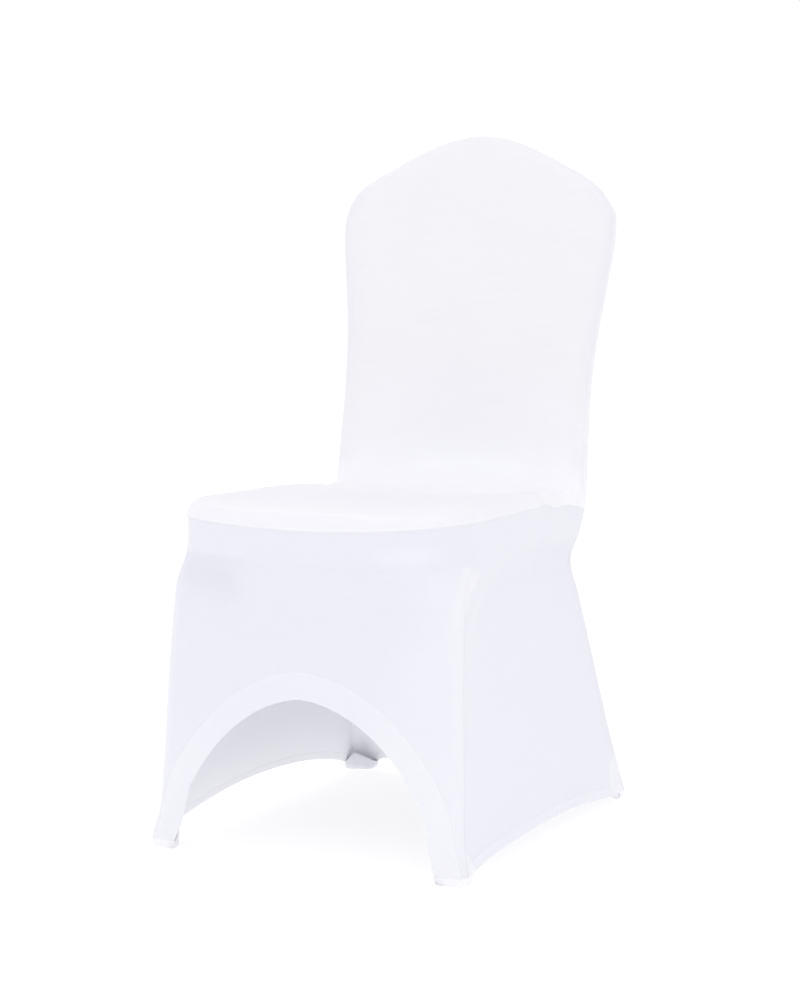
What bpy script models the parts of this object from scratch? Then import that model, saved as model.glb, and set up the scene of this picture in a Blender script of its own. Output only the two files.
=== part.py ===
"""Fitted stretch cover for a stacking banquet chair, with an arched front and a pocket at each foot.

The cover is cut from one stretch cloth: a panel that runs over the seat and up the inside of the back, an
outside back that reaches the rear feet, a front skirt with a high arch, two side skirts with shallow arches
and four foot pockets. Every panel is a grid of points on the stretched form. The panels share the points of
their seams, each is given the thickness of the cloth towards the inside, and a hair's gap parts them.

X runs to the right of someone who faces the front, -Y is the front and Z is up, all in metres. The origin is
on the floor, under the middle of the cover.
"""
import math

import bpy
import numpy as np


def table(columns, rows):
    """A short table as arrays that are read by the name of their column."""
    return dict(zip(columns.split(), np.array(rows, dtype=float).T))


# Driving dimensions
CLOTH = 0.0016  # thickness of the cloth
SEAM_GAP = 0.0003  # between two panels along their seam
MITRE_LIMIT = 0.6  # least cosine at a fold for which the cloth keeps its full thickness
SEAT_HALF_WIDTH = 0.201
SEAT_SIDE_TAPER = 0.004  # how much narrower each side of the seat is at the back
SEAM_HEIGHT = 0.425  # nominal height of the seam round the seat
SEAT_EDGE_HEIGHT = 0.377  # lower edge of the seat, where the skirts turn in
LEG_HEIGHT = 0.300  # where the skirts have fully turned onto the legs
SWAY_END = 0.12  # height down to which the waves of the seat seam reach
SEAT_RISE_FRONT = 0.023  # of the seat panel above its seam
SEAT_RISE_BACK = 0.017
SEAT_DOME = 0.005
SEAT_DOME_REACH = 0.6  # half waves of the dome from the front to the back of the seat
SEAT_ROUND = 0.026  # width of the rounded rim of the seat
BACK_ROUND = 0.018  # width of the rounded rim of the back
BACK_DOME = 0.004
CORNER_PULL = 0.12  # how far the hollow curve's corner is drawn forward, for each metre that it rises
CORNER_Y = 0.168  # where the lines of the seat and of the back would cross
BRIDGE_SIDE = 0.018  # reach of the hollow curve between seat and back, at the side seams
BRIDGE_MIDDLE = 0.080  # and in the middle
BRIDGE_SPREAD = 0.070  # distance from the side seam at which it is fully as wide
FOOT_SEAM = 0.012  # height of the seam between skirts and foot pockets
FRONT_ARCH = {"left": 0.186, "right": 0.187, "top": 0.208, "top_x": -0.008,
              "power_left": 1.74, "power_right": 1.69}
REAR_ARCH = {"left": 0.186, "right": 0.186, "top": 0.036, "top_x": 0.0, "power_left": 1.5, "power_right": 1.5}
ARCH_FADE = 0.8  # how squarely the side arches meet the feet; lower is squarer
LIFT_FADE = 1.5  # how soon the rows of the side skirts straighten out above the arch; higher is sooner
SIDE_ARCH_TOP = {-1: 0.045, 1: 0.027}  # left and right
FOOT_SIDE_LENGTH = 0.014  # of the flat side of a foot, from its corner seam to the side arch
POCKET_END = 0.015  # length of the two end walls of a foot pocket
POCKET_LOW = 0.25  # share of an end wall that stays as low as the seam
POCKET_RISE = 0.018  # of the inner wall of a pocket above its seam
POCKET_LIFT = [-0.1, 0.75, 1.0, 0.75, -0.1]  # shares of that rise, round the inner wall
POCKET_BULGE = 0.12  # how far the inner wall bows round the leg, as a share of the pocket's depth
SOLE_ROUND = 0.004  # of the edge of a sole

# Outline of the back, from the seat seam to the shoulder: its reach to the left and right at each height
BACK_SIDE = table("height left right", [
    (0.425, 0.1970, 0.1970), (0.500, 0.1955, 0.1955), (0.580, 0.1940, 0.1940), (0.660, 0.1975, 0.1970),
    (0.740, 0.2070, 0.2060), (0.800, 0.2150, 0.2125), (0.835, 0.2155, 0.2095), (0.868, 0.2030, 0.1850)])
# Crown: height of its outline at each share of the way from the middle to the shoulders
CROWN = table("share left right", [
    (0.00, 0.9500, 0.9500), (0.25, 0.9440, 0.9410), (0.50, 0.9260, 0.9220), (0.75, 0.9010, 0.8980),
    (0.90, 0.8855, 0.8820), (1.00, 0.8680, 0.8680)])
# Lean of the back: the seam's place, and how far the inside and the outside stand off it
BACK_LEAN = table("height seam inside outside", [
    (0.425, 0.169, 0.006, 0.013), (0.500, 0.180, 0.006, 0.013), (0.580, 0.193, 0.007, 0.014),
    (0.660, 0.209, 0.010, 0.023), (0.750, 0.2245, 0.012, 0.028), (0.810, 0.2345, 0.013, 0.026),
    (0.868, 0.2450, 0.013, 0.014), (0.950, 0.2600, 0.012, 0.009)])
# Front of the skirts: the outer corner of each front leg, its radius, and how far the cloth between the legs
# hangs back from them (bow)
FRONT_LEG = table("height corner_x corner_y radius bow", [
    (0.012, 0.2260, -0.2830, 0.0140, 0.000), (0.050, 0.2180, -0.2765, 0.0140, 0.003),
    (0.100, 0.2155, -0.2720, 0.0140, 0.005), (0.240, 0.2100, -0.2650, 0.0160, 0.001),
    (0.300, 0.2075, -0.2635, 0.0220, -0.004), (0.340, 0.2050, -0.2690, 0.0370, -0.004),
    (0.377, 0.2010, -0.2730, 0.0660, -0.005), (0.425, 0.2010, -0.2710, 0.0680, -0.006)])
# Rear legs: the side seam, how far the outside stands behind it, and how far the cloth between the legs
# stands behind them
REAR_LEG = table("height left right seam outside bow", [
    (0.012, 0.2260, 0.2200, 0.2630, 0.0180, 0.000), (0.040, 0.2210, 0.2150, 0.2570, 0.0170, -0.002),
    (0.100, 0.2130, 0.2080, 0.2350, 0.0160, -0.002), (0.200, 0.2010, 0.1980, 0.2010, 0.0150, 0.006),
    (0.300, 0.1890, 0.1880, 0.1680, 0.0140, 0.018), (0.356, 0.1820, 0.1820, 0.1530, 0.0130, 0.022),
    (0.390, 0.1900, 0.1900, 0.1640, 0.0130, 0.016), (0.425, 0.1960, 0.1960, 0.1690, 0.0130, 0.010),
    (0.520, 0.1930, 0.1930, 0.1830, 0.0130, 0.002)])
# How far the sides of the skirts hang in from the straight line between the legs. The crease under the seat's
# side, where they turn in, runs down in a curve towards the front leg.
SIDE_BOW = table("height bow", [
    (0.012, 0.000), (0.060, 0.007), (0.200, 0.014), (0.320, 0.013), (0.350, 0.011), (0.366, 0.006),
    (0.380, 0.000), (0.425, 0.000)])
CREASE_DROP = 0.075  # how much lower the crease lies at the front leg
CREASE_END = 0.45  # share of the way to the rear leg at which it has reached its full height
# Height of the seat seam over its nominal height, from the front to the back, and its rise to the sides
SEAM_SWAY = table("y height", [
    (-0.280, -0.005), (-0.200, -0.005), (-0.120, -0.003), (0.000, -0.001), (0.100, -0.005), (0.175, -0.016)])
SEAM_SIDE_RISE = 0.013
# Small tucks of the seat seam on the right, where the stretched cloth puckers
TUCKS = table("y height width", [(0.020, 0.003, 0.018), (0.062, -0.004, 0.022)])

# Grid of the panels: steps of each stretch, the same on both panels that share a seam
ROUND_STEPS = 4
ARCH_STEPS = 8
SEAT_STEPS = 10
BRIDGE_STEPS = 6
BACK_STEPS = 11
BOXING_STEPS = 2
TURN_STEPS = 4
SKIRT_STEPS = 6
FOOT_STEPS = 4
REAR_FOOT_STEPS = 3
LEAST_COLUMN = 0.014  # least share of a panel's flat width that a column takes

CLOTH_COLOUR = (0.86, 0.86, 0.89, 1.0)
CLOTH_ROUGHNESS = 0.62


def smooth(rows, column, at, key="height"):
    """Reads a column of a table on a smooth curve through its rows."""
    x = rows[key]
    y = rows[column]
    at = float(np.clip(at, x[0], x[-1]))
    slope = np.gradient(y, x)
    k = int(np.clip(np.searchsorted(x, at) - 1, 0, len(x) - 2))
    step = x[k + 1] - x[k]
    t = (at - x[k]) / step
    return ((1 + 2 * t) * (1 - t) ** 2 * y[k] + t * (1 - t) ** 2 * step * slope[k]
            + t * t * (3 - 2 * t) * y[k + 1] + t * t * (t - 1) * step * slope[k + 1])


def ease(t):
    """Rises softly from 0 to 1."""
    t = min(max(t, 0.0), 1.0)
    return t * t * (3 - 2 * t)


def bulge(share):
    """Share of a panel's bow at a share of its half width: 1 in the middle, 0 at the edge."""
    return (1 - share ** 2) ** 2


def quarter_round(distance, width):
    """Share of a rounded rim's height at a distance in from its edge."""
    t = min(max(distance / width, 0.0), 1.0)
    return math.sqrt(1 - (1 - t) ** 2)


def arch_point(side, arch, turn):
    """Point of half an arch, from its foot at turn 0 to its top at turn 1."""
    angle = turn * math.pi / 2
    power = 2 / arch["power_" + side_name(side)]
    middle = side * arch["top_x"]
    across = middle + (arch[side_name(side)] - middle) * math.cos(angle) ** power
    return across, FOOT_SEAM + (arch["top"] - FOOT_SEAM) * math.sin(angle) ** power


def half_columns(side, arch, inner_half_width):
    """Columns of half a panel, from its side seam to the top of the arch.

    A column is (side, angle round the corner, share of the flat, hem height). The corner takes ROUND_STEPS
    and half the arch ARCH_STEPS.
    """
    half = [(side, math.pi / 2 * k / ROUND_STEPS, 1.0, FOOT_SEAM) for k in range(ROUND_STEPS + 1)]
    for k in range(ARCH_STEPS + 1):
        across, height = arch_point(side, arch, k / ARCH_STEPS)
        share = across / inner_half_width(side, height)
        half.append((side, math.pi / 2, min(share, half[-1][2] - LEAST_COLUMN), height))
    return half


def columns(arch, inner_half_width):
    """Columns across a panel, from its left seam to its right one."""
    left = half_columns(-1, arch, inner_half_width)
    right = half_columns(1, arch, inner_half_width)
    return left + right[-2::-1]


def seam_height(x, y):
    """Height of the seat seam over a place of the seat, with the tucks on the right."""
    height = SEAM_HEIGHT + smooth(SEAM_SWAY, "height", y, "y") + SEAM_SIDE_RISE * (x / SEAT_HALF_WIDTH) ** 2
    if x > 0:
        for at, rise, width in zip(TUCKS["y"], TUCKS["height"], TUCKS["width"]):
            height += rise * math.exp(-((y - at) / width) ** 2) * (x / SEAT_HALF_WIDTH) ** 6
    return height


def sway_share(level):
    """Share of the seat seam's waves that a level of the skirts follows."""
    return ease((level - SWAY_END) / (SEAT_EDGE_HEIGHT - SWAY_END))


def sway(x, y, level):
    """Moves the skirts' levels with the seat seam, fading out towards the feet."""
    return (seam_height(x, y) - SEAM_HEIGHT) * sway_share(level)


def front_point(column, level):
    """Point of the front skirt's form in a column, at a nominal height."""
    side, angle, share, _ = column
    corner_x = smooth(FRONT_LEG, "corner_x", level)
    corner_y = smooth(FRONT_LEG, "corner_y", level)
    radius = smooth(FRONT_LEG, "radius", level)
    bow = smooth(FRONT_LEG, "bow", level)
    x = side * share * (corner_x - radius * (1 - math.cos(angle)))
    y = corner_y + radius * (1 - math.sin(angle)) + bow * bulge(share)
    return np.array([x, y, level + sway(x, y, level)])


def rear_point(column, level):
    """Point of the outside back below the seat in a column, at a height."""
    side, angle, share, _ = column
    x = side * share * (smooth(REAR_LEG, side_name(side), level) - BACK_ROUND * (1 - math.cos(angle)))
    y = smooth(REAR_LEG, "seam", level) + smooth(REAR_LEG, "outside", level) * math.sin(angle)
    return np.array([x, y + smooth(REAR_LEG, "bow", level) * bulge(share), level])


def across_back(column, half_width):
    """Place of a column across the back, where the back is so wide."""
    side, angle, share, _ = column
    return side * share * (half_width - BACK_ROUND * (1 - math.cos(angle)))


def seat_point(column, share_back):
    """Point of the seat panel, from the front seam (0) to the start of the hollow curve (1)."""
    side = column[0]
    front = front_point(column, SEAM_HEIGHT)
    rear_half = SEAT_HALF_WIDTH - SEAT_SIDE_TAPER
    rear_x = across_back(column, rear_half)
    reach = bridge_reach(abs(rear_x))
    y = front[1] + (CORNER_Y - reach - front[1]) * share_back
    x = rear_x + (front[0] - rear_x) * (1 - share_back) ** 2
    if abs(front[0]) >= SEAT_HALF_WIDTH - 1e-9:
        x = side * (SEAT_HALF_WIDTH - SEAT_SIDE_TAPER * (y - front[1]) / (CORNER_Y - front[1]))
    rim = quarter_round(seat_edge_distance(x, y), SEAT_ROUND)
    rise = SEAT_RISE_FRONT + (SEAT_RISE_BACK - SEAT_RISE_FRONT) * share_back
    along = math.sin(math.pi * share_back * SEAT_DOME_REACH)
    rise += SEAT_DOME * math.cos(x / SEAT_HALF_WIDTH * math.pi / 2) * along
    return np.array([x, y, seam_height(x, y) + rim * rise])


def seat_edge_distance(x, y):
    """Distance of a place on the seat from the seam round its front and sides."""
    radius = smooth(FRONT_LEG, "radius", SEAM_HEIGHT)
    share = min(abs(x) / (SEAT_HALF_WIDTH - radius), 1.0)
    front_y = smooth(FRONT_LEG, "corner_y", SEAM_HEIGHT)
    front_y += smooth(FRONT_LEG, "bow", SEAM_HEIGHT) * bulge(share)
    behind = y - front_y - radius
    side_x = SEAT_HALF_WIDTH - SEAT_SIDE_TAPER * max(behind, 0) / (CORNER_Y - front_y - radius)
    from_side = side_x - abs(x)
    from_front = y - front_y
    if from_side < radius and from_front < radius:
        return radius - math.hypot(radius - from_side, radius - from_front)
    return min(from_side, from_front)


def bridge_reach(across):
    """Reach of the hollow curve between seat and back, at a distance from the middle."""
    inward = SEAT_HALF_WIDTH - SEAT_SIDE_TAPER - across
    return BRIDGE_SIDE + (BRIDGE_MIDDLE - BRIDGE_SIDE) * quarter_round(inward, BRIDGE_SPREAD)


def side_name(side):
    return "left" if side < 0 else "right"


def crown_height(column):
    """Height of the crown's outline in a column."""
    half_width = BACK_SIDE[side_name(column[0])][-1]
    return smooth(CROWN, side_name(column[0]), abs(across_back(column, half_width)) / half_width, "share")


def back_place(column, base, share_up):
    """Place across, height and rim share of the back, from a base height (0) to the crown (1)."""
    top = crown_height(column)
    shoulder = BACK_SIDE["height"][-1]
    half_width = smooth(BACK_SIDE, side_name(column[0]), base + (shoulder - base) * share_up)
    x = across_back(column, half_width)
    rim = (quarter_round(half_width - abs(x), BACK_ROUND)
           * quarter_round((1 - share_up) * (top - base), BACK_ROUND))
    return x, base + (top - base) * share_up, rim


def inside_back_point(column, base, share_up):
    """Point of the inside of the back."""
    x, z, rim = back_place(column, base, share_up)
    dome = BACK_DOME * math.cos(x / SEAT_HALF_WIDTH * math.pi / 2) * math.sin(math.pi * share_up)
    y = smooth(BACK_LEAN, "seam", z) - rim * (smooth(BACK_LEAN, "inside", z) + dome)
    return np.array([x, y, z])


def outside_back_point(column, base, share_up):
    """Point of the outside of the back, above the seat."""
    x, z, rim = back_place(column, base, share_up)
    bow = smooth(REAR_LEG, "bow", z) * bulge(column[2])
    y = smooth(BACK_LEAN, "seam", z) + rim * (smooth(BACK_LEAN, "outside", z) + bow)
    return np.array([x, y, z])


def hollow_curve(start, corner, end, t):
    """Soft curve that bridges a corner."""
    return (1 - t) ** 2 * start + 2 * t * (1 - t) * corner + t * t * end


def rim_shares(length, steps, width):
    """Shares of a stretch, dense over the rounded rim at its start and even after it."""
    dense = [width * (1 - math.cos(math.pi / 2 * k / ROUND_STEPS)) / length for k in range(ROUND_STEPS)]
    even = list(np.linspace(width / length, 1, steps + 1))
    return dense + even


def seat_and_back_grid(across):
    """Rows of the panel over the seat and the inside of the back, from the front seam to the crown."""
    seat_length = CORNER_Y - smooth(FRONT_LEG, "corner_y", SEAM_HEIGHT)
    back_length = BACK_SIDE["height"][-1] - SEAM_HEIGHT
    seat_shares = rim_shares(seat_length, SEAT_STEPS, SEAT_ROUND)
    back_shares = [1 - share for share in reversed(rim_shares(back_length, BACK_STEPS, BACK_ROUND))]
    strips = []
    for column in across:
        start = seat_point(column, 1.0)
        base = start[2] + bridge_reach(abs(start[0]))
        end = inside_back_point(column, base, 0.0)
        corner = np.array([(start[0] + end[0]) / 2, end[1] - CORNER_PULL * (end[2] - start[2]), start[2]])
        strip = [seat_point(column, share) for share in seat_shares]
        strip += [hollow_curve(start, corner, end, k / BRIDGE_STEPS) for k in range(1, BRIDGE_STEPS)]
        strip += [inside_back_point(column, base, share) for share in back_shares]
        strips.append(strip)
    return [list(row) for row in zip(*strips)], len(seat_shares) - 1 + BRIDGE_STEPS // 2


def skirt_levels(bottom):
    """Nominal heights of a column of the skirts, from the seat seam down to the hem."""
    boxing = list(np.linspace(SEAM_HEIGHT, SEAT_EDGE_HEIGHT, BOXING_STEPS + 1))
    turn = list(np.linspace(SEAT_EDGE_HEIGHT, LEG_HEIGHT, TURN_STEPS + 1))
    return boxing + turn[1:] + list(np.linspace(LEG_HEIGHT, bottom, SKIRT_STEPS + 1))[1:]


def front_skirt_grid(across):
    """Rows of the front skirt, from the seat seam to the arched hem."""
    strips = [[front_point(column, level) for level in skirt_levels(column[3])] for column in across]
    return [list(row) for row in zip(*strips)]


def outside_back_grid(across, seat_back_grid, joint_row):
    """Rows of the outside back, from the crown down to the rear hem."""
    side_heights = [row[0][2] for row in seat_back_grid]
    joint = side_heights[joint_row]
    bridge_end = joint_row + BRIDGE_STEPS - BRIDGE_STEPS // 2
    base = side_heights[bridge_end]
    top = side_heights[-1]
    squeeze = (joint - SEAT_EDGE_HEIGHT) / (SEAM_HEIGHT - SEAT_EDGE_HEIGHT)
    strips = []
    for column in across:
        levels = skirt_levels(column[3])
        strip = [outside_back_point(column, base, (height - base) / (top - base))
                 for height in reversed(side_heights[bridge_end:])]
        strip += [rear_point(column, height) for height in reversed(side_heights[joint_row:bridge_end])]
        strip += [rear_point(column, joint + (level - SEAM_HEIGHT) * squeeze)
                  for level in levels[1:BOXING_STEPS]]
        strip += [rear_point(column, level) for level in levels[BOXING_STEPS:]]
        strips.append(strip)
    rows = [list(row) for row in zip(*strips)]
    for row, heights_row in zip(rows, range(len(side_heights) - 1, joint_row - 1, -1)):
        row[0] = seat_back_grid[heights_row][0]
        row[-1] = seat_back_grid[heights_row][-1]
    return rows


def side_skirt_grid(side, front_rows, rear_rows, seat_back_grid, joint_row):
    """Rows of a side skirt, from the seat seam to the hem, between its front and rear seams."""
    column = 0 if side < 0 else -1
    top = [row[column] for row in seat_back_grid[:joint_row + 1]]
    front = [row[column] for row in front_rows]
    rear = [row[column] for row in rear_rows[-len(front):]]
    count = len(top)
    reach = [(point[1] - top[0][1]) / (top[-1][1] - top[0][1]) for point in top]
    foot = FOOT_SIDE_LENGTH / (rear[-1][1] - front[-1][1])
    bottom = [foot * k / FOOT_STEPS for k in range(FOOT_STEPS)]
    bottom += list(np.linspace(foot, 1 - foot, count - FOOT_STEPS - REAR_FOOT_STEPS))
    bottom += [1 - foot + foot * k / REAR_FOOT_STEPS for k in range(1, REAR_FOOT_STEPS + 1)]
    rows = [top]
    for index in range(1, len(front)):
        drop = index / (len(front) - 1)
        row = [front[index]]
        for k in range(1, count - 1):
            share = reach[k] + (bottom[k] - reach[k]) * drop
            point = front[index] + (rear[index] - front[index]) * share
            arch = max(1 - ((bottom[k] - 0.5) / (0.5 - foot)) ** 2, 0) ** ARCH_FADE
            lifted = drop ** LIFT_FADE * arch * (SIDE_ARCH_TOP[side] - FOOT_SEAM)
            above = max(1 - index / BOXING_STEPS, 0)
            straight_top = top[0] + (top[-1] - top[0]) * reach[k]
            point[2] += lifted + (top[k][2] - straight_top[2]) * sway_share(point[2])
            point[0] += (top[k][0] - straight_top[0]) * above
            fall = CREASE_DROP * max(1 - share / CREASE_END, 0) ** 2
            point[0] -= side * smooth(SIDE_BOW, "bow", point[2] + fall) * (1 - (2 * share - 1) ** 4)
            row.append(point)
        row.append(rear[index])
        rows.append(row)
    return rows


class Cover:
    """Points and faces of all the panels. Seams are where two panels use the same points."""

    def __init__(self):
        self.points = []
        self.index = {}
        self.panels = {}

    def point(self, place):
        key = tuple(round(float(c), 6) for c in place)
        if key not in self.index:
            self.index[key] = len(self.points)
            self.points.append(np.array(place, dtype=float))
        return self.index[key]

    def add_triangle(self, panel, corners):
        if len(set(corners)) == 3:
            self.panels.setdefault(panel, []).append(tuple(corners))

    def add_quad(self, panel, quad):
        """Splits a quad along its shorter diagonal."""
        a, b, c, d = quad
        if np.linalg.norm(self.points[a] - self.points[c]) <= np.linalg.norm(self.points[b] - self.points[d]):
            self.add_triangle(panel, (a, b, c))
            self.add_triangle(panel, (a, c, d))
        else:
            self.add_triangle(panel, (a, b, d))
            self.add_triangle(panel, (b, c, d))

    def add_grid(self, panel, rows, flip=False):
        ids = [[self.point(place) for place in row] for row in rows]
        for upper, lower in zip(ids, ids[1:]):
            for k in range(len(upper) - 1):
                quad = (upper[k], lower[k], lower[k + 1], upper[k + 1])
                self.add_quad(panel, quad[::-1] if flip else quad)

    def normals(self):
        """Outward direction at each point, and how much the cloth's thickness grows there at a fold."""
        places = np.array(self.points)
        total = np.zeros_like(places)
        faces = np.array([face for panel in self.panels.values() for face in panel])
        edge_a = places[faces[:, 1]] - places[faces[:, 0]]
        edge_b = places[faces[:, 2]] - places[faces[:, 0]]
        face_normal = np.cross(edge_a, edge_b)
        face_normal /= np.linalg.norm(face_normal, axis=1)[:, None]
        for corner in range(3):
            one = places[faces[:, (corner + 1) % 3]] - places[faces[:, corner]]
            two = places[faces[:, (corner + 2) % 3]] - places[faces[:, corner]]
            cosine = np.sum(one * two, axis=1) / (np.linalg.norm(one, axis=1) * np.linalg.norm(two, axis=1))
            angle = np.arccos(np.clip(cosine, -1, 1))
            np.add.at(total, faces[:, corner], face_normal * angle[:, None])
        total /= np.linalg.norm(total, axis=1)[:, None]
        least = np.ones(len(places))
        for corner in range(3):
            np.minimum.at(least, faces[:, corner], np.sum(total[faces[:, corner]] * face_normal, axis=1))
        return total, 1 / np.clip(least, MITRE_LIMIT, 1)

    def solid(self, panel, normals, growth):
        """Vertices and faces of one panel as a closed sheet, drawn in from its seams by half the gap."""
        faces = self.panels[panel]
        border = {}
        for face in faces:
            for a, b in zip(face, face[1:] + face[:1]):
                if (b, a) in border:
                    del border[(b, a)]
                else:
                    border[(a, b)] = face
        others = {point for name, other in self.panels.items() if name != panel
                  for face in other for point in face}
        inward = {}
        for a, b in border:
            if a in others and b in others:
                along = self.points[b] - self.points[a]
                side = np.cross(normals[a] + normals[b], along)
                side /= np.linalg.norm(side)
                inward.setdefault(a, []).append(side)
                inward.setdefault(b, []).append(side)
        used = sorted({point for face in faces for point in face})
        number = {point: k for k, point in enumerate(used)}
        outer = []
        inner = []
        for point in used:
            shift = np.zeros(3)
            if point in inward:
                sides = inward[point]
                shift = sum(sides) / max(1 + sides[0] @ sides[-1], 0.5) if len(sides) > 1 else sides[0]
            place = self.points[point] + shift * SEAM_GAP / 2
            outer.append(place)
            inner.append(place - normals[point] * CLOTH * growth[point])
        count = len(used)
        solid_faces = [tuple(number[p] for p in face) for face in faces]
        solid_faces += [tuple(number[p] + count for p in reversed(face)) for face in faces]
        for a, b in border:
            a, b = number[a], number[b]
            solid_faces += [(b, a, a + count), (b, a + count, b + count)]
        return outer + inner, solid_faces


def pocket_rings(outer):
    """Rings of a foot pocket: its top edge, the wall just over the sole, and the sole's edge.

    outer runs along the seam with the skirts, from one arch round the outside of the leg to the other arch.
    """
    first, last = outer[0], outer[-1]
    middle = sum(outer) / len(outer)
    end_a = inner_end(outer[-2], last, middle)
    end_b = inner_end(outer[1], first, middle)
    half = (end_a + end_b) / 2 + (middle - (end_a + end_b) / 2) * POCKET_BULGE
    low_a = last + (end_a - last) * POCKET_LOW
    low_b = first + (end_b - first) * POCKET_LOW
    top = list(outer) + [low_a, end_a, half, end_b, low_b]
    lift = [0.0] * len(outer) + POCKET_LIFT
    edge = [place + np.array([0, 0, POCKET_RISE * rise]) for place, rise in zip(top, lift)]
    wall = [np.array([place[0], place[1], SOLE_ROUND]) for place in top]
    centre = sum(wall) / len(wall)
    sole = []
    for place in wall:
        inward = centre - place
        inward[2] = 0
        sole.append(np.array([place[0], place[1], 0]) + inward / np.linalg.norm(inward) * SOLE_ROUND)
    return edge, wall, sole


def inner_end(before, corner, middle):
    """Far end of a pocket's end wall, square to the hem that it starts from."""
    along = corner - before
    along[2] = 0
    along /= np.linalg.norm(along)
    square = np.array([-along[1], along[0], 0])
    if square @ (middle - corner) < 0:
        square = -square
    return corner + square * POCKET_END


def add_pocket(cover, panel, outer, flip):
    """Adds one foot pocket below the skirts."""
    edge, wall, sole = pocket_rings(outer)
    rings = [[*ring, ring[0]] for ring in (edge, wall, sole)]
    cover.add_grid(panel, rings, flip)
    centre = cover.point(sum(sole) / len(sole))
    ids = [cover.point(place) for place in rings[-1]]
    for a, b in zip(ids, ids[1:]):
        cover.add_triangle(panel, (centre, a, b) if flip else (a, centre, b))


def build_cover():
    """Works out every panel's points and faces."""
    front_columns = columns(FRONT_ARCH, lambda side, z: (
        smooth(FRONT_LEG, "corner_x", z) - smooth(FRONT_LEG, "radius", z)))
    rear_columns = columns(REAR_ARCH, lambda side, z: smooth(REAR_LEG, side_name(side), z) - BACK_ROUND)
    seat_back, joint_row = seat_and_back_grid(front_columns)
    front = front_skirt_grid(front_columns)
    rear = outside_back_grid(rear_columns, seat_back, joint_row)
    for k, place in enumerate(seat_back[-1]):
        rear[0][k] = place
    left = side_skirt_grid(-1, front, rear, seat_back, joint_row)
    right = side_skirt_grid(1, front, rear, seat_back, joint_row)

    cover = Cover()
    cover.add_grid("seat_and_inside_back", seat_back, flip=True)
    cover.add_grid("outside_back", rear, flip=True)
    cover.add_grid("front_skirt", front)
    cover.add_grid("side_skirt_left", left, flip=True)
    cover.add_grid("side_skirt_right", right)

    corner = ROUND_STEPS + 1
    add_pocket(cover, "foot_pocket_front_left",
               front[-1][corner::-1] + left[-1][1:FOOT_STEPS + 1], flip=True)
    add_pocket(cover, "foot_pocket_front_right",
               front[-1][-corner - 1:] + right[-1][1:FOOT_STEPS + 1], flip=False)
    add_pocket(cover, "foot_pocket_rear_left",
               rear[-1][corner::-1] + left[-1][-2:-REAR_FOOT_STEPS - 2:-1], flip=False)
    add_pocket(cover, "foot_pocket_rear_right",
               rear[-1][-corner - 1:] + right[-1][-2:-REAR_FOOT_STEPS - 2:-1], flip=True)
    return cover


def stretch_cloth(name):
    """White stretch cloth of one panel."""
    material = bpy.data.materials.new(name)
    material.use_nodes = True
    shader = material.node_tree.nodes["Principled BSDF"]
    shader.inputs["Base Color"].default_value = CLOTH_COLOUR
    shader.inputs["Roughness"].default_value = CLOTH_ROUGHNESS
    shader.inputs["Metallic"].default_value = 0.0
    return material


def make_panel(name, places, faces):
    """One panel as a mesh object with its own material."""
    mesh = bpy.data.meshes.new(name)
    mesh.from_pydata([tuple(place) for place in places], [], faces)
    mesh.validate()
    mesh.shade_smooth()
    mesh.set_sharp_from_angle(angle=math.radians(50))
    panel = bpy.data.objects.new(name, mesh)
    panel.data.materials.append(stretch_cloth(name + "_cloth"))
    bpy.context.scene.collection.objects.link(panel)
    return panel


for leftover in list(bpy.data.objects):
    bpy.data.objects.remove(leftover, do_unlink=True)
whole = build_cover()
outward, fold_growth = whole.normals()
for panel_name in whole.panels:
    panel_places, panel_faces = whole.solid(panel_name, outward, fold_growth)
    make_panel(panel_name, panel_places, panel_faces)
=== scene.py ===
import math

import bpy
import mathutils
import numpy as np
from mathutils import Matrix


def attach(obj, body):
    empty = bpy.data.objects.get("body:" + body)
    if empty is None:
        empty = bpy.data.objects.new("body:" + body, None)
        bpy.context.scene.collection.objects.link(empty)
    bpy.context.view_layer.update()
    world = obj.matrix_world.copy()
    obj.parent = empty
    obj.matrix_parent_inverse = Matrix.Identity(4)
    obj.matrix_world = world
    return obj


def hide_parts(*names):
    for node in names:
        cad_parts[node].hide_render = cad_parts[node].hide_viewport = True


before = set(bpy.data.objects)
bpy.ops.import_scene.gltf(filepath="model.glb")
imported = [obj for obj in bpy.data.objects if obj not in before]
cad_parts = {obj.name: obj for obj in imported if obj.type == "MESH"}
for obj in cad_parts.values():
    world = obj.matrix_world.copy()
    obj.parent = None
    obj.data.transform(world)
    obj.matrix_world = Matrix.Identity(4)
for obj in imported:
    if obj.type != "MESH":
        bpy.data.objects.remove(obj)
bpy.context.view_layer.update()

# Seat and inside back
# One length of firm white stretch knit that runs from the seam at the front of the seat, over the seat,
# through a soft hollow and up the inside of the back to the crown. It is cut small and sewn with an
# overlocked seam to the skirts and to the outside back, so it stands taut and shows no seam of its own.


def table(columns, rows):
    """A short table as arrays that are read by the name of their column."""
    return dict(zip(columns.split(), np.array(rows, dtype=float).T))


def smooth(rows, column, at, key="height"):
    """Reads a column of a table on a smooth curve through its rows."""
    x, y = rows[key], rows[column]
    at = np.clip(at, x[0], x[-1])
    slope = np.gradient(y, x)
    k = np.clip(np.searchsorted(x, at) - 1, 0, len(x) - 2)
    step = x[k + 1] - x[k]
    t = (at - x[k]) / step
    return ((1 + 2 * t) * (1 - t) ** 2 * y[k] + t * (1 - t) ** 2 * step * slope[k]
            + t * t * (3 - 2 * t) * y[k + 1] + t * t * (t - 1) * step * slope[k + 1])


def ease(t):
    """Rises softly from 0 to 1."""
    t = np.clip(t, 0, 1)
    return t * t * (3 - 2 * t)


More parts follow.
